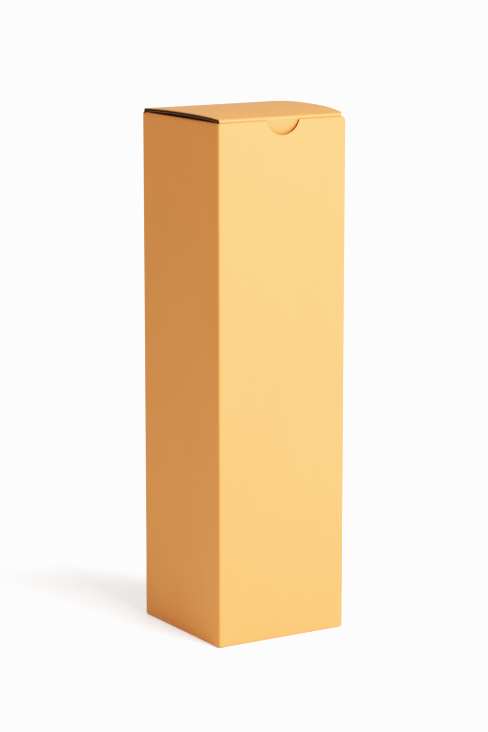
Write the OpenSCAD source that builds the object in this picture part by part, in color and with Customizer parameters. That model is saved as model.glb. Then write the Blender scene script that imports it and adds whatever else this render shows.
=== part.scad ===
/* [Box] */
// Outside width across the front panel
box_w = 71; // [60:1:90]
// Outside depth from the front panel to the back panel
box_d = 71; // [62:1:90]
// Height of the front panel's top edge above the floor
box_h = 251; // [120:1:300]

/* [Board] */
// Thickness of the corrugated board
board_t = 1.5; // [1.2:0.1:2]
// Outside radius of every fold
fold_r = 1.2; // [0.8:0.1:1.5]
// Play between layers of board that lie on each other
layer_play = 0.2; // [0.1:0.05:0.4]
// How far each flap's root stops short of the neighbouring panel
root_play = 0.8; // [0.4:0.1:1.5]
// Depth of the small relief that is cut at each end of a fold line
relief_h = 0.7; // [0.3:0.1:1]

/* [Lid] */
// Play between the dust flaps and the lid at its folds
lid_play = 0.35; // [0.2:0.05:0.6]
// How far the lid bows up between its two folds
lid_bow = 1.5; // [0.6:0.1:3]
// How far each side edge of the lid lies inside the box's outline
lid_inset = 1.1; // [0.2:0.1:1.5]
// How far the lid's front fold bulges past the tuck flap's root
lip_step = 0.1; // [0.05:0.05:0.2]
// Height of the front fold's lower edge above the front panel's top edge
lip_play = 0.1; // [0.05:0.05:0.2]
// Distance of the lid's turning line outside the back fold's round
crease_skin = 0.07; // [0.05:0.01:0.2]

/* [Tuck flap] */
// Length of the tuck flap below the front panel's top edge
tuck_len = 15; // [12:0.5:20]
// Play between the swinging tuck flap and the front panel
tuck_play = 0.15; // [0.1:0.05:0.4]
// How far each end of the tuck flap stays from the side panel
tuck_inset = 1.5; // [1.2:0.1:4]
// Radius of the tuck flap's lower corners
tuck_corner_r = 6; // [3:0.5:8]

/* [Thumb notch] */
// Radius of the thumb notch
notch_r = 9.3; // [6:0.1:12]
// Height of the notch's centre above the front panel's top edge
notch_rise = 2.3; // [0:0.1:3]

/* [Dust flaps] */
// Length of each dust flap inward from its side panel
dust_len = 27; // [15:0.5:28]
// Play between the dust flaps and the swinging tuck flap
dust_play = 0.8; // [0.4:0.1:2]
// How far the dust flap narrows at its back edge
dust_back_taper = 8; // [4:0.5:12]
// How far the dust flap narrows at its front edge
dust_front_taper = 5; // [3:0.5:10]
// Straight stretch of the dust flap's edges before they narrow
dust_straight = 7; // [3:0.5:10]

/* [Glue tab] */
// Width of the glue tab inside the back panel
tab_w = 15; // [10:0.5:18]
// Height of the slanted cut at each end of the glue tab
tab_taper = 7; // [3:0.5:10]
// Distance of the glue tab's ends from the panel's ends
tab_end = 9; // [8:0.5:14]
// How far the back panel's glued edge lies inside the right face
seam_inset = 0.3; // [0.1:0.1:0.6]

/* [Bottom flaps] */
// How far the lock flap's root stops short of the side panels
lock_inset = 2; // [1.5:0.5:4]
// Distance from the front face at which the lock flap meets its tongue
lock_reach = 26; // [20:0.5:28]
// Half width of the lock flap at its shoulders
lock_shoulder = 24; // [20:0.5:26]
// Half width of the lock flap's tongue
tongue_half = 14; // [10:0.5:16]
// Length of the tongue in plan, from the shoulders to its tip
tongue_len = 22; // [20:0.5:24]
// Run over which the tongue climbs through the back flap's cut-out
tongue_ramp = 6; // [5:0.5:8]
// Play on each side of the tongue
tongue_play = 2; // [1:0.5:3]
// Run over which the side flaps climb onto the lock flap
side_ramp = 2.6; // [2:0.1:4]
// Length of the side flaps' front and back slants along the panel
side_slant = 14; // [12:0.5:16]
// Run over which the back flap climbs onto the side flaps
back_ramp = 7; // [6:0.5:9]
// Overlap of the tongue's tip on the back flap
tongue_grip = 8; // [5:0.5:10]
// Length of the back flap's two legs beside the tongue
leg_len = 13; // [10:0.5:15]
// Chamfer at the flaps' free corners
flap_chamfer = 3; // [1:0.5:5]

/* [Hidden] */
$fn = 64;
kraft = [0.91, 0.72, 0.46];
kraft_lid = [0.85, 0.65, 0.42];

// Panels
half_w = box_w / 2;
half_d = box_d / 2;
in_w = half_w - board_t;
in_d = half_d - board_t;
// A fold's round stays inside the board
bend_r = min(fold_r, 0.9 * board_t);
// Reach of a cutting shape past what it cuts
past = 1;

// Lid, seen from the side: y runs from front to back, z upwards
lid_under = box_h + lid_play;
lid_top = lid_under + board_t;
lid_half = half_w - lid_inset;
fold_centre = [half_d - bend_r, lid_top - bend_r];
hinge = fold_centre + (bend_r + crease_skin) * [cos(45), sin(45)];
lip_z = box_h + lip_play;
lip_r = lid_top - lip_z;

// The tuck flap is a chord of the circle that clears the front panel as the lid swings
swing_r = norm([hinge.x + in_d, hinge.y - box_h]) - tuck_play;
tuck_z = box_h - tuck_len;
tuck_top = [hinge.x - sqrt(swing_r ^ 2 - (hinge.y - lip_z) ^ 2), lip_z];
tuck_end = [hinge.x - sqrt(swing_r ^ 2 - (hinge.y - tuck_z) ^ 2), tuck_z];
// The flap's section ends inside the front fold's round
root_lap = 3 * lip_step;
tuck_root = tuck_top + root_lap * (tuck_top - tuck_end) / norm(tuck_top - tuck_end);
tuck_half = in_w - tuck_inset;
lip_centre = tuck_top + [lip_r - lip_step, 0];

// The lid's bow is a circle that meets the tops of both folds just inside their rounds
bow_lap = (board_t - bend_r) / 2;
bow_half = (fold_centre.x - lip_centre.x) / 2 - bow_lap;
bow_r = (bow_half * bow_half + lid_bow * lid_bow) / (2 * lid_bow);
bow_centre = [(fold_centre.x + lip_centre.x) / 2, lid_top + lid_bow - bow_r];
bow_fn = 720;

// The dust flaps stay behind the circle that the tuck flap's inner face sweeps
sweep_r = sqrt(swing_r ^ 2 - (norm(tuck_top - tuck_end) / 2) ^ 2) - board_t;
dust_front = hinge.x - sweep_r + dust_play;

// Bottom layers, from the floor up: lock flap, side flaps, back flap, tongue
side_lift = board_t + layer_play;
back_lift = 2 * side_lift;
tongue_lift = 3 * side_lift;
tongue_end = lock_reach + tongue_len;
leg_root = box_d - tongue_end + tongue_grip;
slot_half = tongue_half + tongue_play;
side_reach = half_w - slot_half;

// Offset of point i of a path to its left by t, mitred at the bends
function direction(a, b) = (b - a) / norm(b - a);
function path_in(p, i) = direction(p[max(i - 1, 0)], p[max(i, 1)]);
function path_out(p, i) = direction(p[min(i, len(p) - 2)], p[min(i + 1, len(p) - 1)]);
function mitre(a, b) = (a + b) / (1 + a * b);
function beside(p, i, t) =
    let (m = mitre(path_in(p, i), path_out(p, i)))
    p[i] + t * [-m.y, m.x];

// Section of a board of thickness t whose lower face follows a path
function board_section(p, t) =
    concat(p, [for (i = [len(p) - 1 : -1 : 0]) beside(p, i, t)]);

// The right panel's outlines run from front to back, and the left panel's from back to front
function turned(side, p) = [for (q = p) [side == 1 ? q.x : -q.x, q.y]];

// Outline that is mirrored about x = 0
function mirrored(p) =
    concat(p, [for (i = [len(p) - 1 : -1 : 0]) [-p[i].x, p[i].y]]);

// Rectangle with rounded corners
module rounded_rect(w, d, r) {
    square([w - 2 * r, d], center = true);
    square([w, d - 2 * r], center = true);
    for (x = [-1, 1], y = [-1, 1])
        translate([x * (w / 2 - r), y * (d / 2 - r)])
            circle(r);
}

// What a fold's round leaves of a square corner, at the origin, material towards +x +y
module corner_waste(r) {
    difference() {
        translate([-past, -past])
            square(r + past);
        translate([r, r])
            circle(r);
    }
}

// Extrudes each side view (y, z) over the width w, centred on x = 0
module across(w) {
    for (i = [0 : $children - 1])
        rotate([90, 0, 90])
            linear_extrude(w, center = true)
                children(i);
}

// Puts a child on a panel's foot: x along the panel, y inwards from its outer face
module at_panel(side) {
    angle = 90 * side;
    reach = side % 2 == 0 ? half_d : half_w;
    rotate(angle)
        translate([0, -reach, 0])
            children();
}

// A flap that follows a section (y inwards, z up), cut to an outline (x along, y inwards)
module flap(path, outline, w) {
    intersection() {
        across(w)
            polygon(board_section(path, board_t));
        translate([0, 0, -past])
            linear_extrude(box_h)
                polygon(outline);
    }
}

// Plan of the four panels, with the glued seam at the back right corner
module panels_plan() {
    difference() {
        union() {
            rounded_rect(box_w, box_d, bend_r);
            translate([half_w - bend_r, half_d - bend_r])
                square([bend_r, bend_r]);
        }
        square([2 * in_w, 2 * in_d], center = true);
        translate([half_w - seam_inset, in_d])
            square([seam_inset + past, board_t + past]);
        difference() {
            translate([half_w - bend_r, in_d - bend_r])
                square([bend_r + past, bend_r]);
            translate([half_w - bend_r, in_d - bend_r])
                circle(bend_r);
        }
    }
}

// Walls from the floor up, with rounded bottom folds and the thumb notch
module panels() {
    relief_w = 2 * (board_t + root_play);
    difference() {
        linear_extrude(box_h)
            panels_plan();
        for (side = [0 : 3])
            at_panel(side)
                across(2 * max(box_w, box_d))
                    corner_waste(bend_r);
        for (x = [-1, 1], y = [-1, 1])
            translate([x * half_w, y * half_d, (relief_h - past) / 2])
                cube([relief_w, relief_w, relief_h + past], center = true);
        for (side = [1, 3])
            side_top_cuts(side);
        translate([0, 0, box_h + notch_rise])
            rotate([90, 0, 0])
                cylinder(h = half_d + past, r = notch_r);
    }
}

// Round of a side panel's top fold, and the relief cut at its two ends
module side_top_cuts(side) {
    root = in_d - root_play;
    at_panel(side) {
        across(2 * root)
            translate([0, box_h])
                mirror([0, 1])
                    corner_waste(bend_r);
        for (end = [-1, 1])
            translate([end * (root + root_play / 2), (board_t - past) / 2, box_h])
                cube([root_play, board_t + past, 2 * relief_h], center = true);
    }
}

// Neck of the back panel, up to the mitre where the lid starts
module back_neck() {
    intersection() {
        across(2 * lid_half)
            intersection() {
                back_fold_section();
                below_mitre();
            }
        linear_extrude(lid_top + past)
            rounded_rect(box_w, box_d, bend_r);
    }
}

// Section of the closed fold between the back panel and the lid
module back_fold_section() {
    difference() {
        translate([in_d, box_h - board_t])
            square([board_t, lid_top - box_h + board_t]);
        translate([half_d, lid_top])
            rotate(180)
                corner_waste(bend_r);
    }
}

// Half planes on the two sides of the mitre, which passes through the turning line
module below_mitre() {
    translate([in_d, lid_under])
        polygon([[-box_d, -box_d], [box_d, -box_d], [box_d, box_d]]);
}

module above_mitre() {
    translate([in_d, lid_under])
        polygon([[-box_d, -box_d], [box_d, box_d], [-box_d, box_d]]);
}

// Dust flap of a side panel, level with the front panel's top edge
module dust_flap(side) {
    root = in_d - root_play;
    reach = board_t + dust_len;
    inner = half_w - tuck_half - layer_play;
    outline = [
        [-root, bend_r],
        [-root, board_t],
        [dust_front, inner],
        [dust_front, inner + dust_straight],
        [dust_front + dust_front_taper, reach],
        [root - dust_back_taper, reach],
        [root, board_t + dust_straight],
        [root, bend_r]
    ];
    at_panel(side)
        translate([0, 0, box_h - board_t])
            linear_extrude(board_t)
                polygon(turned(side, outline));
}

// Glue tab of the right panel, behind the back panel
module glue_tab() {
    top = box_h - tab_end;
    translate([0, in_d, 0])
        rotate([90, 0, 0])
            linear_extrude(board_t)
                polygon([
                    [in_w + bend_r / 2, tab_end],
                    [in_w, tab_end],
                    [in_w - tab_w, tab_end + tab_taper],
                    [in_w - tab_w, top - tab_taper],
                    [in_w, top],
                    [in_w + bend_r / 2, top]
                ]);
}

// Lock flap on the front panel, with the tongue that climbs over the back flap
module lock_flap() {
    ramp_start = tongue_end - tongue_grip - tongue_play - tongue_ramp;
    path = [
        [bend_r, 0],
        [ramp_start, 0],
        [ramp_start + tongue_ramp, tongue_lift],
        [tongue_end, tongue_lift]
    ];
    outline = [
        [in_w - lock_inset, bend_r],
        [lock_shoulder, lock_reach - flap_chamfer],
        [lock_shoulder - flap_chamfer, lock_reach],
        [tongue_half, lock_reach],
        [tongue_half, tongue_end - flap_chamfer],
        [tongue_half - flap_chamfer, tongue_end]
    ];
    at_panel(0)
        flap(path, mirrored(outline), box_w);
}

// Bottom flap of a side panel, between the lock flap and the back flap
module side_flap(side) {
    root = in_d - root_play;
    path = [
        [board_t, 0],
        [board_t + side_ramp, side_lift],
        [side_reach, side_lift]
    ];
    outline = [
        [-root, 0],
        [-root, board_t],
        [side_slant - root, side_reach],
        [root - back_ramp - side_slant, side_reach],
        [root - back_ramp, board_t],
        [root - back_ramp, 0]
    ];
    at_panel(side)
        flap(path, turned(side, outline), box_d);
}

// Bottom flap of the back panel: two legs beside the cut-out that holds the tongue
module back_flap() {
    root = in_w - root_play;
    leg_end = leg_root + leg_len;
    path = [
        [board_t, 0],
        [board_t + back_ramp, back_lift],
        [leg_end, back_lift]
    ];
    outline = [
        [root, 0],
        [root - flap_chamfer, leg_end - flap_chamfer],
        [root - 2 * flap_chamfer, leg_end],
        [slot_half, leg_end],
        [slot_half, leg_root]
    ];
    at_panel(2)
        flap(path, mirrored(outline), box_w);
}

// Side view of the lid panel, bowed up between its folds
module bowed_panel() {
    intersection() {
        difference() {
            translate(bow_centre)
                circle(bow_r, $fn = bow_fn);
            translate(bow_centre)
                circle(bow_r - board_t, $fn = bow_fn);
        }
        translate([lip_centre.x, box_h])
            square([fold_centre.x - lip_centre.x, box_h]);
    }
}

// Side view of the front fold, which comes down behind the front panel's top edge
module front_fold() {
    intersection() {
        translate(lip_centre)
            circle(lip_r);
        translate(lip_centre - [lip_r, 0])
            square([lip_r + 2 * bow_lap, lip_r]);
    }
}

// Side view of the tuck flap, from its end up into the front fold
module tuck_flap() {
    polygon(board_section([tuck_end, tuck_root], -board_t));
}

// Front view of the lid with the tuck flap's rounded lower corners
module lid_outline() {
    translate([-lid_half, lip_z])
        square([2 * lid_half, box_h]);
    translate([-tuck_half, tuck_z + tuck_corner_r])
        square([2 * tuck_half, tuck_len]);
    translate([tuck_corner_r - tuck_half, tuck_z - past])
        square([2 * (tuck_half - tuck_corner_r), tuck_len]);
    for (x = [-1, 1])
        translate([x * (tuck_half - tuck_corner_r), tuck_z + tuck_corner_r])
            circle(tuck_corner_r);
}

// The folded sheet below the back fold: panels, glued seam, dust flaps and bottom flaps
module box_body() {
    color(kraft) {
        panels();
        back_neck();
        glue_tab();
        lock_flap();
        back_flap();
        for (side = [1, 3]) {
            dust_flap(side);
            side_flap(side);
        }
    }
}

// The part of the sheet that swings at the back fold: lid panel and tuck flap
module lid() {
    color(kraft_lid)
        intersection() {
            across(2 * lid_half) {
                bowed_panel();
                back_fold_section();
                front_fold();
                tuck_flap();
            }
            across(box_w)
                above_mitre();
            rotate([90, 0, 0])
                linear_extrude(2 * box_d, center = true)
                    lid_outline();
            linear_extrude(2 * box_h)
                rounded_rect(box_w, box_d, bend_r);
        }
}

box_body();
lid();
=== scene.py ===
# Looks of the closed tuck-top cardboard box, laid over its solid model
import math
from collections import namedtuple

import bpy
import numpy as np
from bpy.props import FloatProperty, FloatVectorProperty, IntProperty, PointerProperty
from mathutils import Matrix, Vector


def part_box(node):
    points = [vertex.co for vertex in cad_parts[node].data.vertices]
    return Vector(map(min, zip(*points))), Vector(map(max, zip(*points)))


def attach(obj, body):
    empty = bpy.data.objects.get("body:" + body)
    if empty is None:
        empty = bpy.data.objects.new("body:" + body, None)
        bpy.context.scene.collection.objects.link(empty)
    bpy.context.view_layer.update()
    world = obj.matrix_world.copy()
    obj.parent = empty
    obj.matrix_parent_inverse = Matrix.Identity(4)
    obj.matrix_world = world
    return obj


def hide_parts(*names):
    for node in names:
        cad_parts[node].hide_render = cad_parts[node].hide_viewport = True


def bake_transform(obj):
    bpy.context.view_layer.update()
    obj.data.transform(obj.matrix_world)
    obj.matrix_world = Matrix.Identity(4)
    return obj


bl_info = {
    "name": "Tuck-top cardboard box",
    "version": (1, 0, 0),
    "blender": (4, 5, 0),
    "location": "3D View > Sidebar > Carton",
    "description": "Builds a folded carton from corrugated board with its liners and flutes",
    "category": "Add Mesh",
}

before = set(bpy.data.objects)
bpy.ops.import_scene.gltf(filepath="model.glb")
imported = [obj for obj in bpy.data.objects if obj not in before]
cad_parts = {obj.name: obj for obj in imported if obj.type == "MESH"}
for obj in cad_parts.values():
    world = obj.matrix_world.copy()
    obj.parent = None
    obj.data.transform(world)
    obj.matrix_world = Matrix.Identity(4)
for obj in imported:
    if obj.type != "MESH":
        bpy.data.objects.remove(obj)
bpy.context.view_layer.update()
# Half the carton's width and depth, and half the lid's width
HALF_W, HALF_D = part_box("box_body")[1].xy
LID_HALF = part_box("lid")[1].x
MM = 0.001
# Two places along the board that lie closer than this are one
SAME = 0.1 * MM
# How far inside a strip of board an outline is read, so that a jump in it belongs to one side
JUST_INSIDE = 0.0001 * MM
# Distance from a fold at which the board is flat again
SETTLE = 4 * MM
# How far a bend of a bottom flap reaches to each side, and its mesh steps
BEND = 0.8 * MM
BEND_STEPS = 3
# Edges that turn by more than this are sharp
SHARP = math.radians(42)
# Mesh steps round the thumb notch, the tuck flap's corners and the lid's small cut
NOTCH_STEPS = 30
CORNER_STEPS = 8
CUT_STEPS = 4
# Grain of the paper: repeats per metre across and along the flutes, detail, roughness, shade
CLOUDS = ((28, 22), 3, 0.5, 0.06)
FLOCKS = ((700, 900), 4, 0.65, 0.1)
FIBRES = ((420, 3600), 3, 0.6, 0.09)
# Dark flecks: cells per metre, share of cells without one, sizes in a cell, and shade
FLECK_CELLS = (150, 190)
FLECK_FREE = 0.86
FLECK_RADIUS = 0.015
FLECK_SPREAD = 0.03
FLECK_SHADE = -0.16
WHITE = (1, 1, 1, 1)
# Points of the picture's tone curve, from the light that comes in to the shade that is shown
TONES = ((0.1124, 0.07), (0.235, 0.255), (0.5, 0.6))
TONE_END = (1, 0.973)


def length(name, description, mm):
    """A size of the carton, in metres, with its default given in millimetres."""
    return FloatProperty(
        name=name, description=description, default=mm * MM, unit="LENGTH", subtype="DISTANCE"
    )


def angle(name, description, degrees):
    """A turn of the camera, with its default given in degrees."""
    return FloatProperty(
        name=name, description=description, default=math.radians(degrees), unit="ROTATION"
    )


def number(name, description, default, **limits):
    """A strength, a power or another plain number."""
    return FloatProperty(name=name, description=description, default=default, **limits)


def share(name, description, default):
    """A number from 0 to 1."""
    return number(name, description, default, min=0, max=1)


def count(name, description, default):
    """A number of mesh columns or steps."""
    return IntProperty(name=name, description=description, default=default, min=1)


def colour(name, description, rgb):
    """A colour of the carton or its stage."""
    return FloatVectorProperty(
        name=name, description=description, default=rgb, size=3, min=0, max=1, subtype="COLOR"
    )


class CartonBoard(bpy.types.PropertyGroup):
    """The sheet that the carton is folded from"""

    thickness: length("Thickness", "Thickness of the whole board", 1.5)
    liner: length("Liner", "Thickness of each of the two liners", 0.25)
    medium: length("Medium", "Thickness of the fluted paper between the liners", 0.18)
    pitch: length("Flute pitch", "Distance from one flute to the next", 3.35)
    phase: length("Flute phase", "Place of the first flute from the front panel's left fold", 0.55)
    print_through: length("Print-through", "Height of the flutes' ridges on the liners", 0.008)
    fold_radius: length("Fold radius", "Outside radius of each fold", 1.2)
    inner_radius: length("Inner fold radius", "Radius of the inner liner at a fold", 0.4)
    crushed: length("Crushed edge", "Thickness of the board at the front's top edge", 0.85)
    liner_columns: count("Liner columns", "Mesh columns per flute on the outer liner", 6)
    medium_columns: count("Medium columns", "Mesh columns per flute on the medium", 8)
    backing_columns: count("Backing columns", "Mesh columns per flute on the inner liner", 2)
    fold_steps: count("Fold steps", "Mesh steps round each fold", 6)


class CartonWalls(bpy.types.PropertyGroup):
    """The four panels, the glue tab and the thumb notch"""

    height: length("Height", "Height of the front panel's top edge", 251)
    root_play: length("Root play", "Gap between a flap's root and the next panel", 0.8)
    relief: length("Relief", "Depth of the small cut at each end of a fold line", 0.7)
    seam_inset: length("Seam inset", "Distance of the back panel's glued edge from the right", 0.3)
    tab_width: length("Tab width", "Width of the glue tab inside the back panel", 15)
    tab_end: length("Tab end", "Distance of the glue tab from the panel's ends", 9)
    tab_taper: length("Tab taper", "Height of the slanted cut at each end of the tab", 7)
    notch_radius: length("Notch radius", "Radius of the thumb notch", 9.3)
    notch_rise: length("Notch rise", "Height of the notch's centre above the top edge", 2.3)
    corner_wear: length("Corner wear", "How far the top right corner of the front is worn", 1.8)
    crease_low: length("Crease start", "Height at which the back panel starts to bend", 249.5)
    crease_reach: length("Crease reach", "Distance from the back at which the lid is rigid", 3)


class CartonLid(bpy.types.PropertyGroup):
    """The lid panel and its tuck flap"""

    play: length("Play", "Play between the dust flaps and the lid", 0.35)
    bow_left: length("Bow at the left", "How far the lid's left edge bows up", 0.85)
    bow_right: length("Bow at the right", "How far the lid's right edge bows up", 2.15)
    bow_fullness: number("Bow fullness", "How full the bow is in its front half", 3.2)
    lip_play: length("Lip play", "Height of the fold's lower edge above the front panel", 0.05)
    lip_reach: length("Lip reach", "Distance from the fold's corner at which its round ends", 1.5)
    lip_inner: length("Inner lip reach", "The same on the inner face of the fold", 0.3)
    lip_steps: count("Lip steps", "Mesh steps round the front fold", 8)
    tuck_length: length("Tuck length", "Length of the tuck flap below the top edge", 15)
    tuck_root: length("Tuck root", "Distance of the tuck flap's root behind the front", 0.95)
    tuck_slant: length("Tuck slant", "How far the tuck flap's end lies behind its root", 2.725)
    tuck_inset: length("Tuck inset", "Gap between the tuck flap and the side panel", 1.5)
    tuck_corner: length("Tuck corner", "Radius of the tuck flap's lower corners", 6)
    corner_cut: length("Corner cut", "Width of the small cut at the lid's front right corner", 1.4)
    corner_run: length("Corner run", "Length of the small cut at the front right corner", 3.4)
    level_gap: length("Level gap", "Distance between mesh levels along the bowed lid", 3)
    bend_gap: length("Bend gap", "Distance between the mesh levels across the crease", 0.25)
    flute_shift: length("Flute shift", "Shift of the lid's flutes against the body's", 1.46)


class CartonDustFlaps(bpy.types.PropertyGroup):
    """The two flaps that fold in from the side panels under the lid"""

    reach: length("Length", "Length of each dust flap inward from its panel", 27)
    back_taper: length("Back taper", "How far the flap narrows at its back edge", 8)
    front_taper: length("Front taper", "How far the flap narrows at its front edge", 5)
    straight: length("Straight", "Stretch of the flap's edges before they narrow", 7)
    front_gap: length("Front gap", "Distance of the front edge from the front face", 4.36)
    shoulder: length("Shoulder", "Reach of the flap's root beside the tuck flap", 2.8)


class CartonBottomFlaps(bpy.types.PropertyGroup):
    """The four interlocked flaps under the carton"""

    layer_lift: length("Layer lift", "Height from one layer of board to the next", 1.7)
    lock_inset: length("Lock inset", "Gap between the lock flap's root and the side panels", 2)
    lock_reach: length("Lock reach", "Distance at which the lock flap meets its tongue", 26)
    lock_shoulder: length("Lock shoulder", "Half width of the lock flap at its shoulders", 24)
    tongue_half: length("Tongue half width", "Half width of the tongue", 14)
    tongue_length: length("Tongue length", "Length of the tongue from the shoulders", 22)
    tongue_ramp: length("Tongue ramp", "Run over which the tongue climbs", 6)
    tongue_play: length("Tongue play", "Play on each side of the tongue", 2)
    tongue_grip: length("Tongue grip", "Overlap of the tongue's tip on the back flap", 8)
    side_ramp: length("Side ramp", "Run over which the side flaps climb", 2.6)
    side_slant: length("Side slant", "Length of the side flaps' slanted edges", 14)
    back_ramp: length("Back ramp", "Run over which the back flap climbs", 7)
    leg_length: length("Leg length", "Length of the back flap's two legs", 13)
    chamfer: length("Chamfer", "Chamfer at the flaps' free corners", 3)


class CartonFinish(bpy.types.PropertyGroup):
    """Colours of the board's papers, some darkened with painted shade"""

    liner_colour: colour("Liner", "Kraft paper on the outside", (0.485, 0.201, 0.068))
    # The inner liner's colour is partly its own kraft and partly painted shade that darkens the gap
    # under the lid's edges
    backing_colour_and_shade: colour("Backing", "Kraft paper on the inside", (0.35, 0.16, 0.06))
    # The medium's colour is darker than its paper: painted shade for the open flutes at the cut
    # edges
    medium_colour_and_shade: colour("Medium", "Fluted paper between the liners", (0.17, 0.105, 0.055))
    # The cut edges' colour is partly the raw paper's own darker tone and partly painted shade, for
    # the dark edges at the thumb notch and along the lid
    cut_colour_and_shade: colour("Cut edge", "Paper where the board is cut", (0.31, 0.19, 0.09))
    roughness: share("Roughness", "Roughness of the outer liner", 0.55)
    sheen: share("Sheen", "Strength of the paper's reflections", 0.37)
    # Painted shade: stripes along the flutes' ridges on both liners, besides the ridges that the
    # print-through raises in the mesh
    painted_ridge_shade: share("Ridge shade", "Shade of the flutes on both liners", 0.012)
    tooth: share("Tooth", "Strength of the paper's fine relief", 0.25)
    tooth_depth: length("Tooth depth", "Depth of the paper's fine relief", 0.02)


class CartonStage(bpy.types.PropertyGroup):
    """The floor, the lights and the camera"""

    floor_colour: colour("Floor", "Colour of the plain floor", (0.95, 0.95, 0.95))
    floor_half: length("Floor half", "Half the width of the floor", 4000)
    near_glow: number("Near glow", "Light that the floor gives near the carton", 0.18)
    backdrop_glow: number("Backdrop glow", "What the far floor adds for the camera alone", 0.45)
    glow_start: length("Glow start", "Distance at which the near floor starts to change", 250)
    glow_end: length("Glow end", "Distance at which the floor is all backdrop", 800)
    backdrop: number("Backdrop", "Strength behind the floor", 1.1)
    sky_strength: number("Sky", "Strength of the soft light all round", 0.685)
    key_power: number("Key light", "Power of the soft light at the front right", 43.5)
    key_size: length("Key size", "Width and height of the key light", 1200)
    key_right: length("Key to the right", "Key light's distance to the right", 450)
    key_front: length("Key in front", "Key light's distance to the front", 1200)
    key_height: length("Key height", "Key light's height above the floor", 950)
    azimuth: angle("Azimuth", "Camera's turn round the carton", -31.783)
    elevation: angle("Elevation", "Camera's height angle", 10.848)
    distance: length("Distance", "Camera's distance from the carton's middle", 1295.5)
    aim_height: length("Aim height", "Height of the point that the camera looks at", 125)
    move_right: length("Move right", "Camera's offset to its right", 0.3)
    move_up: length("Move up", "Camera's offset upwards", 3.27)
    lens: number("Lens", "Focal length in millimetres", 130.82)
    sensor: number("Sensor", "Sensor height in millimetres", 36)
    near_clip: length("Near clip", "Distance at which the camera starts to see", 50)


# Board sections: t runs along the flutes, s across them and round the carton
Knot = namedtuple("Knot", "t outer inner reach inner_reach steps", defaults=(0, 0, 1))
Panel = namedtuple("Panel", "middle along inward face flat section")
Layer = namedtuple("Layer", "name columns share offset wave thickness material")
Sheet = namedtuple("Sheet", "low high levels place needed")


def unit(v):
    """The vector v at length one."""
    return v / np.linalg.norm(v)


def rounded(before, corner, after, reach, steps):
    """Points of the arc that meets both sides of a corner at the distance reach."""
    before, corner, after = (np.array(p, float) for p in (before, corner, after))
    back, on = unit(before - corner), unit(after - corner)
    weight = math.sqrt((1 - back @ on) / 2)
    points = []
    for step in range(steps + 1):
        a = step / steps
        shares = np.array([(1 - a) ** 2, 2 * weight * a * (1 - a), a * a])
        spots = np.array([corner + reach * back, corner, corner + reach * on])
        points.append(shares @ spots / shares.sum())
    return points


class Section:
    """Both faces of a board along one line, as stations that are joined by straight pieces"""

    def __init__(self, knots):
        self.t, self.outer, self.inner = [], [], []
        for i, k in enumerate(knots):
            if not k.reach:
                self.add(k.t, k.outer, k.inner)
                continue
            a, b = knots[i - 1], knots[i + 1]
            outer = rounded(a.outer, k.outer, b.outer, k.reach, k.steps)
            inner = rounded(a.inner, k.inner, b.inner, k.inner_reach, k.steps)
            places = np.linspace(k.t - k.reach, k.t + k.reach, k.steps + 1)
            for station in zip(places, outer, inner):
                self.add(*station)

    def add(self, t, outer, inner):
        self.t.append(t)
        self.outer.append(tuple(outer))
        self.inner.append(tuple(inner))

    def at(self, t):
        """The points on the outer and the inner face at t."""
        return [
            np.array([np.interp(t, self.t, [p[axis] for p in side]) for axis in (0, 1)])
            for side in (self.outer, self.inner)
        ]


def wall_knots(board, walls):
    """Stations of a flat wall between its two folds."""
    levels = (SETTLE, walls.height / 2, walls.height - SETTLE)
    return [Knot(z, (0, z), (board.thickness, z)) for z in levels]


def fold_knot(t, z, board, inner_z):
    """The fold between a wall and a flat flap whose outer face is at height z."""
    return Knot(
        t, (0, z), (board.thickness, inner_z), board.fold_radius, board.inner_radius,
        board.fold_steps,
    )


def climbing_flap(board, start, run, lift, end):
    """Stations of a bottom flap, from its free end to its fold: it climbs by lift from start on."""
    thick = board.thickness
    slope = lift / run
    lean = math.tan(math.atan(slope) / 2) * thick
    foot_z = thick * math.sqrt(1 + slope * slope)
    top = start + run

    def flat(x, z):
        return Knot(-x, (x, z), (x, z + thick))

    def bend(x, z):
        return Knot(-x, (x, z), (x - lean, z + thick), BEND, BEND, BEND_STEPS)

    flap = [flat(end, lift), flat(top + 4 * BEND, lift), bend(top, lift)]
    if start > 2 * board.fold_radius:
        foot = [bend(start, 0), flat(start - 4 * BEND, 0), flat(SETTLE, 0)]
        return flap + foot + [fold_knot(0, 0, board, thick)]
    # The ramp starts right at the fold, where the inner face has one bend for both
    gap = 0.05 * MM
    part_of_room = 0.9
    reach = (start - board.fold_radius) * part_of_room
    return flap + [
        Knot(-start, (start, 0), (thick + 2 * gap, foot_z + 2 * gap * slope), reach, gap / 2, 2),
        Knot(0, (0, 0), (thick, foot_z + gap), board.fold_radius, gap / 2, board.fold_steps),
    ]


def front_section(c):
    """The front panel and the lock flap with its tongue."""
    flaps, board = c.bottom_flaps, c.board
    end = flaps.lock_reach + flaps.tongue_length
    start = end - flaps.tongue_grip - flaps.tongue_play - flaps.tongue_ramp
    flap = climbing_flap(board, start, flaps.tongue_ramp, 3 * flaps.layer_lift, end)
    top = Knot(c.walls.height, (0, c.walls.height), (board.crushed, c.walls.height))
    return Section(flap + wall_knots(board, c.walls) + [top])


def side_section(c):
    """A side panel, its bottom flap and its dust flap."""
    flaps, board, top = c.bottom_flaps, c.board, c.walls.height
    thick = board.thickness
    reach = HALF_W - flaps.tongue_half - flaps.tongue_play
    end = thick + c.dust_flaps.reach
    flap = climbing_flap(board, thick, flaps.side_ramp, flaps.layer_lift, reach)
    dust = [fold_knot(top, top, board, top - thick)]
    dust += [Knot(top + x, (x, top), (x, top - thick)) for x in (SETTLE, end / 2, end)]
    return Section(flap + wall_knots(board, c.walls) + dust)


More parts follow.
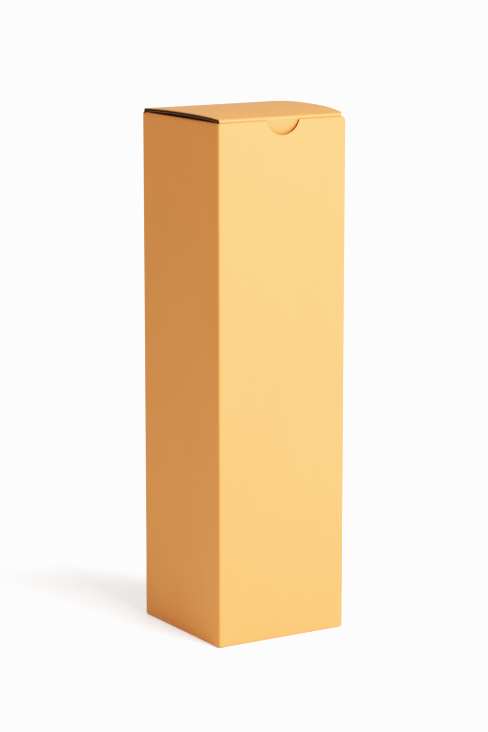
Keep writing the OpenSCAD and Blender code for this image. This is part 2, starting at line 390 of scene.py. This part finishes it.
def back_flap_end(c):
    """Distance of the back flap's legs and of its cut-out from the back face."""
    flaps = c.bottom_flaps
    root = 2 * HALF_D - flaps.lock_reach - flaps.tongue_length + flaps.tongue_grip
    return root + flaps.leg_length, root


def back_section(c):
    """The back panel with its bottom flap below, and the lid with its tuck flap above."""
    flaps, board, lid = c.bottom_flaps, c.board, c.lid
    thick = board.thickness
    end = back_flap_end(c)[0]
    flap = climbing_flap(board, thick, flaps.back_ramp, 2 * flaps.layer_lift, end)
    under = c.walls.height + lid.play
    top = under + thick
    lip_z = c.walls.height + lid.lip_play
    root = np.array([2 * HALF_D - lid.tuck_root, lip_z])
    down = unit(np.array([-lid.tuck_slant, -lid.tuck_length - lid.lip_play]))
    inward = thick * np.array([down[1], -down[0]])
    # The fold's corner is where the lid's face and the tuck flap's face would meet
    corner = root + down * (top - lip_z) / down[1]
    pinch = root + inward
    pinch = pinch + down * (under - pinch[1]) / down[1]
    lip_t = top + corner[0]
    root_t = lip_t + np.linalg.norm(corner - root)
    tip_t = root_t + math.hypot(lid.tuck_slant, lid.tuck_length + lid.lip_play)
    # Where the board is flat before and after the front fold
    before, after = corner[0] - 5 * MM, root_t + 2.5 * MM
    lid_knots = [fold_knot(top, top, board, under)]
    lid_knots += [Knot(top + x, (x, top), (x, under)) for x in (SETTLE, before)]
    lid_knots.append(Knot(lip_t, corner, pinch, lid.lip_reach, lid.lip_inner, lid.lip_steps))
    for t in (after, (root_t + tip_t) / 2, tip_t):
        spot = root + (t - root_t) * down
        lid_knots.append(Knot(t, spot, spot + inward))
    return Section(flap + wall_knots(board, c.walls) + lid_knots), lip_t, root_t, tip_t


def plan_section(c):
    """Both faces of the four panels in plan, from the back panel's glued edge to the tab's edge."""
    board, walls = c.board, c.walls
    thick = board.thickness
    settle = thick + walls.root_play
    glued = HALF_W - walls.seam_inset
    tab = HALF_W - thick - walls.tab_width

    def beside(s, spot, inward):
        return Knot(s, spot, np.array(spot) + thick * np.array(inward))

    left, front, right = -2 * HALF_D, 0, 2 * HALF_W
    rear = right + 2 * HALF_D - thick
    knots = [beside(left - HALF_W - glued, (glued, HALF_D), (0, -1))]
    # Each corner's place and point, and the directions in which the sheet comes and goes
    for s, spot, comes, goes in (
        (left, (-HALF_W, HALF_D), (-1, 0), (0, -1)),
        (front, (-HALF_W, -HALF_D), (0, -1), (1, 0)),
        (right, (HALF_W, -HALF_D), (1, 0), (0, 1)),
        (rear, (HALF_W, HALF_D - thick), (0, 1), (-1, 0)),
    ):
        spot, comes, goes = np.array(spot), np.array(comes), np.array(goes)
        knots += [
            beside(s - settle, spot - settle * comes, goes),
            Knot(
                s, spot, spot + thick * (goes - comes), board.fold_radius, board.inner_radius / 2,
                board.fold_steps,
            ),
            beside(s + settle, spot + settle * goes, -comes),
        ]
    knots.append(beside(rear + HALF_W - tab, (tab, HALF_D - thick), (0, -1)))
    return Section(knots)


def panels_of(c):
    """The four panels: middle along s, directions in plan, outer face, flat stretch and section."""
    thick = c.board.thickness
    root = HALF_W - thick - c.walls.root_play
    rear_root = HALF_D - thick - c.board.fold_radius - JUST_INSIDE
    side, back = side_section(c), back_section(c)[0]
    glued = HALF_W - c.walls.seam_inset
    rows = {
        "front": (HALF_W, (1, 0), (0, 1), (0, -HALF_D), (-root, root), front_section(c)),
        "right": (2 * HALF_W + HALF_D, (0, 1), (-1, 0), (HALF_W, 0), (-root, rear_root), side),
        "back": (-2 * HALF_D - HALF_W, (-1, 0), (0, -1), (0, HALF_D), (-glued, root), back),
        "left": (-HALF_D, (0, -1), (1, 0), (-HALF_W, 0), (-root, root), side),
    }
    return {name: Panel(*row) for name, row in rows.items()}


def mirrored(outline):
    """An outline that is the same on both sides of u = 0, given from the middle outwards."""
    return [(-u, t) for u, t in reversed(outline)] + outline


def turned(outline, turn):
    """The outline as it is, or turned end for end where turn is -1."""
    return outline if turn > 0 else [(-u, t) for u, t in reversed(outline)]


def lock_outline(c):
    """Free edge of the lock flap over the place u along the front panel."""
    f = c.bottom_flaps
    end = f.lock_reach + f.tongue_length
    root = HALF_W - c.board.thickness - f.lock_inset
    return mirrored([
        (f.tongue_half - f.chamfer, -end),
        (f.tongue_half, f.chamfer - end),
        (f.tongue_half, -f.lock_reach),
        (f.lock_shoulder - f.chamfer, -f.lock_reach),
        (f.lock_shoulder, f.chamfer - f.lock_reach),
        (root, -c.board.fold_radius),
        (root, 0),
        (HALF_W - c.board.thickness - c.walls.root_play, 0),
    ])


def side_outline(c, turn):
    """Free edge of a side panel's bottom flap. turn is -1 where u runs from back to front."""
    f, thick = c.bottom_flaps, c.board.thickness
    root = HALF_D - thick - c.walls.root_play
    reach = HALF_W - f.tongue_half - f.tongue_play
    return turned([
        (-root, -thick),
        (f.side_slant - root, -reach),
        (root - f.back_ramp - f.side_slant, -reach),
        (root - f.back_ramp, -thick),
        (root - f.back_ramp, 0),
        (root, 0),
    ], turn)


def back_outline(c):
    """Free edge of the back panel's bottom flap, with its cut-out for the tongue."""
    f = c.bottom_flaps
    end, cut = back_flap_end(c)
    root = HALF_W - c.board.thickness - c.walls.root_play
    slot = f.tongue_half + f.tongue_play
    return mirrored([
        (slot, -cut),
        (slot, -end),
        (root - 2 * f.chamfer, -end),
        (root - f.chamfer, f.chamfer - end),
        (root, 0),
    ])


def dust_outline(c, turn):
    """Free edge of a dust flap over the place u along its side panel."""
    f, top = c.dust_flaps, c.walls.height
    root = HALF_D - c.board.thickness - c.walls.root_play
    reach = top + c.board.thickness + f.reach
    front = f.front_gap - HALF_D
    return turned([
        (-root, top + c.board.thickness),
        (front, top + f.shoulder),
        (front, top + f.shoulder + f.straight),
        (front + f.front_taper, reach),
        (root - f.back_taper, reach),
        (root, top + c.board.thickness + f.straight),
    ], turn)


def notch_outline(c):
    """Top edge of the front panel, with the round of the thumb notch."""
    w = c.walls
    widest = math.acos(w.notch_rise / w.notch_radius)
    arc = [
        (w.notch_radius * math.sin(a), w.height + w.notch_rise - w.notch_radius * math.cos(a))
        for a in np.linspace(-widest, widest, NOTCH_STEPS + 1)
    ]
    worn = [(HALF_W - w.corner_wear, w.height), (HALF_W, w.height - w.corner_wear)]
    return [(-HALF_W, w.height)] + arc + worn


def body_outlines(c):
    """Lower and upper edge of the sheet below the back crease, over s."""
    w, panels = c.walls, panels_of(c)
    thick, top = c.board.thickness, w.height
    root = HALF_W - thick - w.root_play
    plan = plan_section(c)
    rear = 2 * HALF_W + 2 * HALF_D - thick
    tab_s = rear + c.board.fold_radius
    # The tab's cut end: each place s, and how far the edge has slanted there
    tab = [(tab_s, 0), (rear + thick, 0), (plan.t[-1], w.tab_taper)]
    middle = {name: p.middle for name, p in panels.items()}

    def flap(name, cut, outline):
        """A flap's edge over s, with the small cuts at both ends of its fold."""
        first, last = panels[name].flat
        ends = [(-root, cut)] + outline + [(root, cut)]
        return [(middle[name] + min(max(u, first), last), t) for u, t in ends]

    low = (
        [(plan.t[0], w.relief)]
        + flap("back", w.relief, back_outline(c))
        + flap("left", w.relief, side_outline(c, -1))
        + flap("front", w.relief, lock_outline(c))
        + flap("right", w.relief, side_outline(c, 1))
        + [(tab_s, w.relief)]
        + [(s, w.tab_end + t) for s, t in tab]
    )
    cut = top - w.relief
    corner = HALF_D - thick
    lid_first, lid_last = middle["back"] - LID_HALF, middle["back"] + LID_HALF

    def side_top(name, turn, start):
        first, last = middle[name] - corner, middle[name] + corner
        edge = flap(name, cut, dust_outline(c, turn))
        return [(first, start), (first, cut)] + edge + [(last, cut), (last, top)]

    high = (
        [
            (plan.t[0], top),
            (lid_first, top),
            (lid_first, w.crease_low),
            (lid_last, w.crease_low),
            (lid_last, top),
        ]
        + side_top("left", -1, top)
        + [(middle["front"] + u, t) for u, t in notch_outline(c)]
        + side_top("right", 1, top - w.corner_wear)
        + [(tab_s, top)]
        + [(s, top - w.tab_end - t) for s, t in tab]
    )
    return low, high


def body_sheet(c):
    """The sheet below the back crease: panels, glue tab, dust flaps and bottom flaps."""
    panels, plan = panels_of(c), plan_section(c)
    low, high = body_outlines(c)
    w = c.walls
    ends = (w.relief, SETTLE, w.tab_end, w.tab_end + w.tab_taper)
    wall_levels = [*ends, *(w.height - t for t in ends)]
    wall_levels = sorted([*wall_levels, c.board.fold_radius, w.height / 2, w.crease_low, w.height])

    def panel_at(s):
        for p in panels.values():
            if p.flat[0] - SAME / 2 <= s - p.middle <= p.flat[1] + SAME / 2:
                return p
        return None

    def levels(s):
        p = panel_at(s)
        return p.section.t if p else wall_levels

    def place(s, t):
        p = panel_at(s)
        if p is None:
            outer, inner = plan.at(s)
            return np.array([*outer, t]), np.array([*inner, t])
        return on_panel(p, s, *p.section.at(t))

    return Sheet(low, high, levels, place, list(plan.t))


def on_panel(panel, s, *points):
    """Points (inward, up) of a panel's section, placed at s along the panel."""
    along, inward, face = (np.array(v, float) for v in (panel.along, panel.inward, panel.face))
    u = s - panel.middle
    return [np.array([*(face + u * along + p[0] * inward), p[1]]) for p in points]


def lid_sheets(c):
    """The sheet that bends at the back crease, and the lid with its tuck flap."""
    panel = panels_of(c)["back"]
    section, lip_t, root_t, tip_t = back_section(c)
    lid, w, thick = c.lid, c.walls, c.board.thickness
    top = w.height + lid.play + thick
    start_y = HALF_D - c.board.fold_radius
    end_y = HALF_D - (lip_t - lid.lip_reach - top)
    tuck_half = HALF_W - thick - lid.tuck_inset
    crease_t = top + w.crease_reach
    bowed = np.arange(crease_t, top + start_y - end_y, lid.level_gap)

    def bow(x, y):
        """Height of the lid's bow: less at its left edge, and fuller in its front half."""
        q = (2 * y - start_y - end_y) / (start_y - end_y)
        to_right = (x + LID_HALF) / (2 * LID_HALF)
        rise = lid.bow_left + to_right * (lid.bow_right - lid.bow_left)
        fullness = lid.bow_fullness if q < 0 else 2
        return rise * max(0, 1 - abs(q) ** fullness)

    def place(s, t):
        points = on_panel(panel, s, *section.at(t))
        if t > top:
            rise = np.array([0, 0, bow(*points[0][:2])])
            points = [p + rise for p in points]
        return points

    tuck_low = w.height - lid.tuck_length

    def lid_end(z):
        """Place along the sheet of a height on the tuck flap."""
        return tip_t - (z - tuck_low) / (lid.tuck_length + lid.lip_play) * (tip_t - root_t)

    def quarter(steps):
        return np.linspace(0, math.pi / 2, steps + 1)

    r = lid.tuck_corner
    arc = [
        (tuck_half - r + r * math.sin(a), lid_end(tuck_low + r - r * math.cos(a)))
        for a in quarter(CORNER_STEPS)
    ]
    ends = mirrored(arc + [(tuck_half, root_t), (LID_HALF, root_t)])
    # The lid's right edge, at the sheet's low end, is cut back in a round at the front fold
    run = root_t - lid_end(w.height) + lid.corner_run
    round_cut = [
        (lid.corner_cut * math.sin(a) - LID_HALF, root_t - run * math.cos(a))
        for a in quarter(CUT_STEPS)
    ]
    ends = round_cut + [p for p in ends if p[0] > round_cut[-1][0]]
    # The crease's levels lie close together
    steps = round((crease_t - w.crease_low) / lid.bend_gap)
    bent = np.linspace(w.crease_low, crease_t, steps + 1)[1:-1]

    def sheet(low, high, extra):
        low, high = ([(panel.middle + u, t) for u, t in edge] for edge in (low, high))
        levels = sorted([*section.t, *extra])
        return Sheet(low, high, lambda s: levels, place, [])

    start, end = ([(-LID_HALF, t), (LID_HALF, t)] for t in (w.crease_low, crease_t))
    return sheet(start, end, bent), sheet(end, ends, bowed)


def columns_of(sheet, spacing, phase):
    """Places s of the mesh's columns: those that the outlines and folds need, and even ones."""
    low, high = sheet.low[0][0], sheet.low[-1][0]
    wanted = sorted([s for s, t in sheet.low + sheet.high] + sheet.needed)
    needed = [wanted[0]]
    for s in wanted:
        if s - needed[-1] > SAME / 100:
            needed.append(s)
    first = math.ceil((low - phase) / spacing)
    last = math.floor((high - phase) / spacing)
    even = [phase + i * spacing for i in range(first, last + 1)]
    gap = min(SAME, spacing / 4)
    fixed = np.array(needed)
    even = [s for s in even if np.abs(fixed - s).min() > gap]
    return sorted(needed + even)


def chain(levels, marks, low, high):
    """Places t of a column's points between its ends. Its marks come before its levels."""
    kept = [low, high] + [t for t in marks if low + SAME / 100 < t < high - SAME / 100]
    near = np.array(kept)
    kept += [t for t in levels if low < t < high and np.abs(near - t).min() > SAME]
    return sorted(set(round(t, 9) for t in kept))


def flat_faces(sheet, columns):
    """Splits the flat sheet into faces. Each corner is (column number, t)."""
    beside = np.array([-JUST_INSIDE, JUST_INSIDE])
    lows, highs = (
        [np.interp(s + beside, *zip(*edge)).tolist() for s in columns]
        for edge in (sheet.low, sheet.high)
    )
    for ends in lows + highs:
        if abs(ends[0] - ends[1]) < SAME / 10:
            ends[0] = ends[1]
    levels = [sheet.levels(s) for s in columns]

    def points(i, side):
        marks = lows[i] + highs[i]
        low, high = lows[i][side], highs[i][side]
        return [(i, t) for t in chain(levels[i], marks, low, high)]

    faces = []
    for i in range(len(columns) - 1):
        a, b = points(i, 1), points(i + 1, 0)
        m = n = 0
        while m < len(a) - 1 or n < len(b) - 1:
            next_a = a[m + 1][1] if m < len(a) - 1 else math.inf
            next_b = b[n + 1][1] if n < len(b) - 1 else math.inf
            # Steps up on the side whose next point is lower, or on both where they are level
            on_a, on_b = next_a - next_b < SAME / 2, next_b - next_a < SAME / 2
            faces.append([a[m], b[n], *b[n + 1:n + 1 + on_b], *a[m + 1:m + 1 + on_a]])
            m, n = m + on_a, n + on_b
    return faces


def shell_mesh(name, sheet, spacing, phase):
    """A closed shell of two faces and a rim, with what the layer tree needs in its attributes."""
    columns = columns_of(sheet, spacing, phase)
    corners = flat_faces(sheet, columns)
    keys = sorted({key for face in corners for key in face})
    index = {key: i for i, key in enumerate(keys)}
    half = len(keys)
    outside = [[index[key] for key in face] for face in corners]
    inside = [[i + half for i in reversed(face)] for face in outside]
    # An edge that is walked in one direction only lies on the rim
    edges = {edge: None for face in outside for edge in zip(face, face[1:] + face[:1])}
    rim = [[b, a, a + half, b + half] for a, b in edges if (b, a) not in edges]
    placed = [sheet.place(columns[i], t) for i, t in keys]
    outer = np.array([p[0] for p in placed])
    through = np.array([p[1] for p in placed]) - outer
    run = np.array([columns[i] for i, t in keys]) - phase
    blank = np.array([[columns[i], t] for i, t in keys])

    mesh = bpy.data.meshes.new(name)
    mesh.from_pydata(np.vstack([outer, outer + through]).tolist(), [], outside + inside + rim)
    is_rim = np.arange(len(mesh.polygons)) >= len(outside) + len(inside)
    for key, kind, field, values in (
        ("outer_face", "FLOAT_VECTOR", "vector", np.vstack([outer, outer])),
        ("through", "FLOAT_VECTOR", "vector", np.vstack([through, through])),
        ("run", "FLOAT", "value", np.tile(run, 2)),
        ("inner_side", "FLOAT", "value", np.repeat([0.0, 1.0], half)),
        ("cut", "BOOLEAN", "value", is_rim),
    ):
        attribute = mesh.attributes.new(key, kind, "FACE" if key == "cut" else "POINT")
        attribute.data.foreach_set(field, np.ascontiguousarray(values).ravel())
    corner_vertex = np.empty(len(mesh.loops), int)
    mesh.loops.foreach_get("vertex_index", corner_vertex)
    uv = mesh.uv_layers.new(name="blank")
    uv.data.foreach_set("uv", blank[corner_vertex % half].astype(np.float32).ravel())
    return mesh


class NodeMaker:
    """Adds nodes to a tree and feeds their inputs, from other sockets or with plain values"""

    def __init__(self, tree):
        self.tree = tree

    def feed(self, node, inputs):
        for key, value in inputs.items():
            if isinstance(value, bpy.types.NodeSocket):
                self.tree.links.new(value, node.inputs[key])
            else:
                node.inputs[key].default_value = value
        return node

    def add(self, kind, inputs=None, **settings):
        made = self.tree.nodes.new(kind)
        for key, value in settings.items():
            setattr(made, key, value)
        return self.feed(made, inputs or {})

    def maths(self, operation, *values, clamp=False):
        inputs = dict(enumerate(values))
        made = self.add("ShaderNodeMath", inputs, operation=operation, use_clamp=clamp)
        return made.outputs[0]

    def vector(self, operation, *values, **scale):
        inputs = {**dict(enumerate(values)), **scale}
        return self.add("ShaderNodeVectorMath", inputs, operation=operation).outputs[0]

    def length_of(self, value):
        made = self.add("ShaderNodeVectorMath", {0: value}, operation="LENGTH")
        return made.outputs["Value"]


def layer_tree():
    """Geometry Nodes that set a flat-coded shell at its depth in the board, waved by the flutes."""
    tree = bpy.data.node_groups.new("Board layer", "GeometryNodeTree")
    face = tree.interface
    face.new_socket("Geometry", in_out="INPUT", socket_type="NodeSocketGeometry")
    for name in ("Share", "Offset", "Wave height", "Pitch", "Thickness", "Board", "Papers"):
        face.new_socket(name, in_out="INPUT", socket_type="NodeSocketFloat")
    for name in ("Paper", "Cut paper"):
        face.new_socket(name, in_out="INPUT", socket_type="NodeSocketMaterial")
    face.new_socket("Geometry", in_out="OUTPUT", socket_type="NodeSocketGeometry")
    make = NodeMaker(tree)
    maths, vector = make.maths, make.vector

    def attribute(name, kind):
        made = make.add("GeometryNodeInputNamedAttribute", {"Name": name}, data_type=kind)
        return made.outputs["Attribute"]

    given = make.add("NodeGroupInput").outputs
    through, cut = attribute("through", "FLOAT_VECTOR"), attribute("cut", "BOOLEAN")
    turns = maths("DIVIDE", attribute("run", "FLOAT"), given["Pitch"])
    wave = maths("SINE", maths("MULTIPLY", turns, 2 * math.pi))
    # Where the board is crushed, the waves lie as flat as the room between the liners asks
    room = maths("SUBTRACT", make.length_of(through), given["Papers"])
    room = maths("DIVIDE", room, maths("SUBTRACT", given["Board"], given["Papers"]), clamp=True)
    height = maths("MULTIPLY", room, given["Wave height"])
    depth = maths("ADD", given["Offset"], maths("MULTIPLY", wave, height))
    own = maths("MULTIPLY", attribute("inner_side", "FLOAT"), given["Thickness"])
    depth = maths("ADD", depth, own)
    base = vector("SCALE", through, Scale=given["Share"])
    base = vector("ADD", attribute("outer_face", "FLOAT_VECTOR"), base)
    lift = vector("SCALE", vector("NORMALIZE", through), Scale=depth)

    flow = given["Geometry"]
    for kind, inputs in (
        ("SetPosition", {"Position": vector("ADD", base, lift)}),
        ("RealizeInstances", {}),
        ("SetMaterial", {"Material": given["Paper"]}),
        ("SetMaterial", {"Selection": cut, "Material": given["Cut paper"]}),
    ):
        flow = make.add("GeometryNode" + kind, {"Geometry": flow, **inputs}).outputs["Geometry"]
    make.add("NodeGroupOutput", {"Geometry": flow})
    return tree


def board_layers(board, papers):
    """The three papers of the board, from the outside in."""
    b = board
    ridge, swing = b.print_through, (b.thickness - 2 * b.liner - b.medium) / 2
    return [
        Layer("outer_liner", b.liner_columns, 0, ridge, ridge, b.liner, papers["liner"]),
        Layer("flutes", b.medium_columns, 0.5, -b.medium / 2, swing, b.medium, papers["medium"]),
        Layer("inner_liner", b.backing_columns, 1, -b.liner, 0, b.liner, papers["backing"]),
    ]


def into_scene(name, data):
    """A new object with this data, in the scene."""
    made = bpy.data.objects.new(name, data)
    bpy.context.scene.collection.objects.link(made)
    return made


def make_layer(part, sheet, layer, board, phase, cut_paper):
    """One paper of one part of the carton, as a finished mesh object."""
    spacing = board.pitch / layer.columns
    mesh = shell_mesh(f"{part}_{layer.name}_blank", sheet, spacing, phase)
    blank = into_scene(mesh.name, mesh)
    modifier = blank.modifiers.new("Board layer", "NODES")
    modifier.node_group = bpy.data.node_groups.get("Board layer") or layer_tree()
    values = {
        "Share": float(layer.share),
        "Offset": layer.offset,
        "Wave height": layer.wave,
        "Pitch": board.pitch,
        "Thickness": layer.thickness,
        "Board": board.thickness,
        "Papers": 2 * board.liner + board.medium,
        "Paper": layer.material,
        "Cut paper": cut_paper,
    }
    for item in modifier.node_group.interface.items_tree:
        if item.in_out == "INPUT" and item.name in values:
            modifier[item.identifier] = values[item.name]
    evaluated = blank.evaluated_get(bpy.context.evaluated_depsgraph_get())
    finished = bpy.data.meshes.new_from_object(evaluated)
    bpy.data.objects.remove(blank)
    for name in ("outer_face", "through", "run", "inner_side", "cut"):
        finished.attributes.remove(finished.attributes[name])
    finished.shade_smooth()
    finished.set_sharp_from_angle(angle=SHARP)
    piece = into_scene(f"{part}_{layer.name}", finished)
    finished.name = piece.name
    return piece


def paper_material(name, tone, roughness, painted_ridges):
    """Kraft paper: clouds and fibres that follow the sheet, with fine flecks and a soft tooth."""
    finish, board = bpy.context.scene.carton.finish, bpy.context.scene.carton.board
    material = bpy.data.materials.new(name)
    material.use_nodes = True
    make = NodeMaker(material.node_tree)
    maths = make.maths
    sheet = make.add("ShaderNodeUVMap", uv_map="blank").outputs["UV"]

    def stretched(scales):
        inputs = {"Vector": sheet, "Scale": (*scales, 1)}
        return make.add("ShaderNodeMapping", inputs).outputs["Vector"]

    grains, shade = [], 0
    for scales, detail, rough, strength in (CLOUDS, FLOCKS, FIBRES):
        inputs = {"Vector": stretched(scales), "Scale": 1, "Detail": detail, "Roughness": rough}
        noise = make.add("ShaderNodeTexNoise", inputs, noise_dimensions="2D").outputs["Fac"]
        grains.append(maths("SUBTRACT", noise, 0.5))
        shade = maths("MULTIPLY_ADD", grains[-1], strength, shade)
    # Painted shade along the flutes' ridges, in stripes across the sheet
    if painted_ridges:
        across = make.add("ShaderNodeSeparateXYZ", {0: sheet}).outputs["X"]
        turns = maths("DIVIDE", maths("SUBTRACT", across, board.phase), board.pitch)
        wave = maths("SINE", maths("MULTIPLY", turns, 2 * math.pi))
        shade = maths("MULTIPLY_ADD", wave, painted_ridges, shade)

    # Dark flecks sit in a few cells of a loose grid
    inputs = {"Vector": stretched(FLECK_CELLS), "Scale": 1}
    cells = make.add("ShaderNodeTexVoronoi", inputs, voronoi_dimensions="2D").outputs
    chance = make.add("ShaderNodeSeparateColor", {0: cells["Color"]}).outputs
    rare = maths("GREATER_THAN", chance["Red"], FLECK_FREE)
    size = maths("MULTIPLY_ADD", chance["Green"], FLECK_SPREAD, FLECK_RADIUS)
    near = maths("SUBTRACT", size, cells["Distance"])
    near = maths("DIVIDE", near, FLECK_RADIUS, clamp=True)
    shade = maths("MULTIPLY_ADD", maths("MULTIPLY", near, rare), FLECK_SHADE, shade)

    # The flocks and the fibres also raise the surface a little
    height = maths("ADD", *grains[1:])
    tooth = {"Strength": finish.tooth, "Distance": finish.tooth_depth, "Height": height}
    make.feed(material.node_tree.nodes["Principled BSDF"], {
        "Base Color": make.vector("SCALE", tone, Scale=maths("ADD", shade, 1)),
        "Roughness": roughness,
        "Specular IOR Level": finish.sheen,
        "Normal": make.add("ShaderNodeBump", tooth).outputs["Normal"],
    })
    return material


def carton_papers(finish):
    """The four kinds of paper surface on the board, made once."""
    papers = {}
    for key, name, tone, roughness, painted_ridges in (
        ("liner", "Outer kraft liner", finish.liner_colour, finish.roughness, finish.painted_ridge_shade),
        # The backing's tone is partly its own kraft and partly painted shade
        ("backing", "Inner kraft liner", finish.backing_colour_and_shade, 0.75, finish.painted_ridge_shade),
        # Painted shade darkens the medium past its paper's own tone
        ("medium", "Fluted medium with painted shade", finish.medium_colour_and_shade, 0.85, 0),
        # Raw cut edge, partly darkened with painted shade
        ("cut", "Cut paper edge with painted shade", finish.cut_colour_and_shade, 0.9, 0),
    ):
        found = bpy.data.materials.get(name)
        papers[key] = found or paper_material(name, tuple(tone), roughness, painted_ridges)
    return papers


def make_board(c, part, sheet, shift=0):
    """All three papers of one part of the carton."""
    papers = carton_papers(c.finish)
    return [
        make_layer(part, sheet, layer, c.board, c.board.phase + shift, papers["cut"])
        for layer in board_layers(c.board, papers)
    ]


class CARTON_OT_body(bpy.types.Operator):
    """Make the panels, the glue tab, the dust flaps and the bottom flaps of corrugated board"""

    bl_idname = "carton.body"
    bl_label = "Folded body"

    def execute(self, context):
        c = context.scene.carton
        for piece in make_board(c, "body", body_sheet(c)):
            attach(piece, "carton")
            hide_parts("box_body")
        return {"FINISHED"}


class CARTON_OT_lid(bpy.types.Operator):
    """Make the bowed lid panel and its tuck flap of corrugated board"""

    bl_idname = "carton.lid"
    bl_label = "Lid"

    def execute(self, context):
        c = context.scene.carton
        for piece in make_board(c, "lid", lid_sheets(c)[1], c.lid.flute_shift):
            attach(piece, "closure")
            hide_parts("lid")
        return {"FINISHED"}


class CARTON_OT_crease(bpy.types.Operator):
    """Make the crease between the back panel and the lid"""

    bl_idname = "carton.crease"
    bl_label = "Back crease"

    def execute(self, context):
        c = context.scene.carton
        # The bend starts above both faces of the wall and ends before both faces of the lid
        for piece in make_board(c, "crease", lid_sheets(c)[0], c.lid.flute_shift):
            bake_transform(piece)
        return {"FINISHED"}


class CARTON_OT_stage(bpy.types.Operator):
    """Make the plain floor, the soft light and the camera"""

    bl_idname = "carton.stage"
    bl_label = "Stage"

    def execute(self, context):
        stage = context.scene.carton.stage
        make_floor(stage)
        make_sky(stage)
        make_key_light(stage)
        set_tones()
        make_camera(stage)
        return {"FINISHED"}


def make_floor(stage):
    """A plain pale floor under the carton, which glows like a light table and fades to white."""
    half = stage.floor_half
    mesh = bpy.data.meshes.new("floor")
    corners = [(-half, -half, 0), (half, -half, 0), (half, half, 0), (-half, half, 0)]
    mesh.from_pydata(corners, [], [(0, 1, 2, 3)])
    material = bpy.data.materials.new("Plain floor")
    material.use_nodes = True
    make = NodeMaker(material.node_tree)
    distance = make.length_of(make.add("ShaderNodeTexCoord").outputs["Object"])

    def ramp(at_start, at_end):
        inputs = {
            "Value": distance, "From Min": stage.glow_start, "From Max": stage.glow_end,
            "To Min": at_start, "To Max": at_end,
        }
        made = make.add("ShaderNodeMapRange", inputs, interpolation_type="SMOOTHSTEP")
        return made.outputs["Result"]

    near, far = ramp(stage.near_glow, 0), ramp(0, stage.backdrop_glow)
    seen = make.add("ShaderNodeLightPath").outputs["Is Camera Ray"]
    make.feed(material.node_tree.nodes["Principled BSDF"], {
        "Base Color": (*stage.floor_colour, 1),
        "Roughness": 0.9,
        "Specular IOR Level": 0.1,
        "Emission Color": WHITE,
        "Emission Strength": make.maths("MULTIPLY_ADD", far, seen, near),
    })
    mesh.materials.append(material)
    into_scene("floor", mesh)


def make_sky(stage):
    """Even white light from all sides, with a brighter backdrop behind the floor."""
    world = bpy.data.worlds.new("Studio")
    world.use_nodes = True
    make = NodeMaker(world.node_tree)
    seen = make.add("ShaderNodeLightPath").outputs["Is Camera Ray"]
    inputs = {"Value": seen, "To Min": stage.sky_strength, "To Max": stage.backdrop}
    strength = make.add("ShaderNodeMapRange", inputs).outputs["Result"]
    make.feed(world.node_tree.nodes["Background"], {"Color": WHITE, "Strength": strength})
    bpy.context.scene.world = world


def make_key_light(stage):
    """A large soft light at the front right, above the carton."""
    lamp = bpy.data.lights.new("key_light", "AREA")
    lamp.shape = "SQUARE"
    lamp.size = stage.key_size
    lamp.energy = stage.key_power
    light = into_scene("key_light", lamp)
    light.location = (stage.key_right, -stage.key_front, stage.key_height)
    aim = Vector((0, 0, stage.aim_height)) - light.location
    light.rotation_euler = aim.to_track_quat("-Z", "Y").to_euler()


def set_tones():
    """The photograph's contrast: darker shades under a bright, nearly clipped white."""
    view = bpy.context.scene.view_settings
    view.view_transform = "Standard"
    view.use_curve_mapping = True
    # The last of the four curves is for all colours together
    points = view.curve_mapping.curves[3].points
    points[-1].location = TONE_END
    for place in TONES:
        points.new(*place)
    view.curve_mapping.extend = "HORIZONTAL"
    view.curve_mapping.update()


def make_camera(stage):
    """The camera at the photograph's angle."""
    a, e = stage.azimuth, stage.elevation
    back = Vector((math.sin(a) * math.cos(e), -math.cos(a) * math.cos(e), math.sin(e)))
    right = Vector((math.cos(a), math.sin(a), 0))
    up = back.cross(right)
    lens = bpy.data.cameras.new("camera")
    lens.lens = stage.lens
    lens.sensor_width = stage.sensor
    lens.clip_start = stage.near_clip
    camera = into_scene("camera", lens)
    aim = Vector((0, 0, stage.aim_height)) + stage.move_right * right + stage.move_up * up
    camera.location = aim + stage.distance * back
    camera.rotation_euler = back.to_track_quat("Z", "Y").to_euler()
    bpy.context.scene.camera = camera


class CARTON_PT_panel(bpy.types.Panel):
    """Lists the carton's sizes and the steps that make it"""

    bl_label = "Cardboard box"
    bl_idname = "CARTON_PT_panel"
    bl_space_type = "VIEW_3D"
    bl_region_type = "UI"
    bl_category = "Carton"

    def draw(self, context):
        c = context.scene.carton
        for name in Carton.__annotations__:
            settings = getattr(c, name)
            box = self.layout.box()
            box.label(text=type(settings).__doc__)
            for key in type(settings).__annotations__:
                box.prop(settings, key)
        for operator in OPERATORS:
            self.layout.operator(operator.bl_idname)


class Carton(bpy.types.PropertyGroup):
    """Every setting of the carton"""

    board: PointerProperty(type=CartonBoard)
    walls: PointerProperty(type=CartonWalls)
    lid: PointerProperty(type=CartonLid)
    dust_flaps: PointerProperty(type=CartonDustFlaps)
    bottom_flaps: PointerProperty(type=CartonBottomFlaps)
    finish: PointerProperty(type=CartonFinish)
    stage: PointerProperty(type=CartonStage)


GROUPS = (
    CartonBoard, CartonWalls, CartonLid, CartonDustFlaps, CartonBottomFlaps, CartonFinish,
    CartonStage,
)
OPERATORS = (CARTON_OT_body, CARTON_OT_lid, CARTON_OT_crease, CARTON_OT_stage)
CLASSES = (*GROUPS, Carton, *OPERATORS, CARTON_PT_panel)


def register():
    for cls in CLASSES:
        bpy.utils.register_class(cls)
    bpy.types.Scene.carton = PointerProperty(type=Carton)


def unregister():
    del bpy.types.Scene.carton
    for cls in reversed(CLASSES):
        bpy.utils.unregister_class(cls)


def main():
    register()
    bpy.ops.carton.stage()
    bpy.ops.carton.body()
    bpy.ops.carton.crease()
    bpy.ops.carton.lid()


if __name__ == "__main__":
    main()
